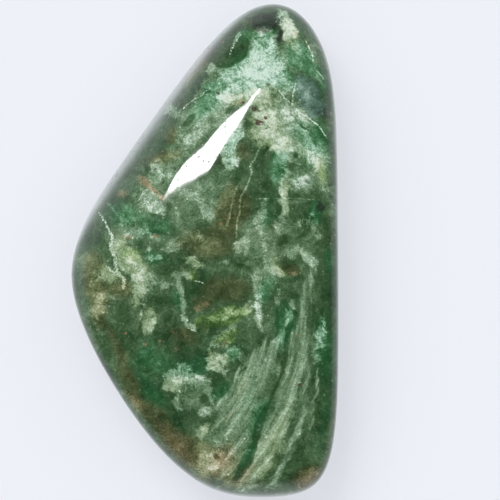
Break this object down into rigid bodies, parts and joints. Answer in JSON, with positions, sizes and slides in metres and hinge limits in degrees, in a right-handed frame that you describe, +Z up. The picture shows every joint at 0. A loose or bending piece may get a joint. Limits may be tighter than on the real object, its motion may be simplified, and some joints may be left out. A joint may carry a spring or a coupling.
{
  "type": "tumbled chalcedony stone",
  "caption": "Polished pebble of mottled green chalcedony, a rounded triangular freeform with a flat back that it rests on.",
  "frame": {"origin": "under the middle of the stone's bounding box, on the flat of its back, which rests on the surface", "axes": "+Z up out of the face that shows, +Y along the stone's length to its narrow head, +X to its straight flank"},
  "size_m": [0.0152, 0.0282, 0.0085],
  "materials": {
    "polished_chalcedony": "high polish, glossy, mottled dark and pale green"
  },
  "bodies": {
    "root": {"stone": "polished_chalcedony"}
  },
  "joints": []
}
